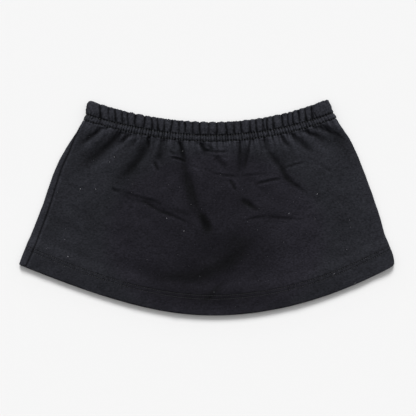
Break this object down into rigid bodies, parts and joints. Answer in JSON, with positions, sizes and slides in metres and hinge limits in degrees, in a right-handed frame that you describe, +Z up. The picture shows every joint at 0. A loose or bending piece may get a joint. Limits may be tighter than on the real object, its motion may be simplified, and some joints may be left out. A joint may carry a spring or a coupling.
{
  "type": "mini skirt",
  "caption": "Short A-line skirt in black sweatshirt knit with a gathered elastic waist and a stitched hem, laid flat.",
  "frame": {"origin": "middle of the footprint, on the surface that the skirt lies on", "axes": "+Y towards the waist, +X to the right as the front is seen from above, +Z up out of the front"},
  "size_m": [0.4948, 0.2837, 0.0113],
  "materials": {
    "knit": "matt brushed sweatshirt knit, black, faded to a soft charcoal on its ridges",
    "elastic": "matt woven elastic, black",
    "thread": "spun polyester sewing thread, black, slight sheen",
    "lint": "specks of pale cotton lint, matt"
  },
  "bodies": {
    "root": {"front_panel": "knit", "back_panel": "knit", "waistband_front": "knit", "waistband_back": "knit", "waist_elastic": "elastic"}
  },
  "joints": []
}
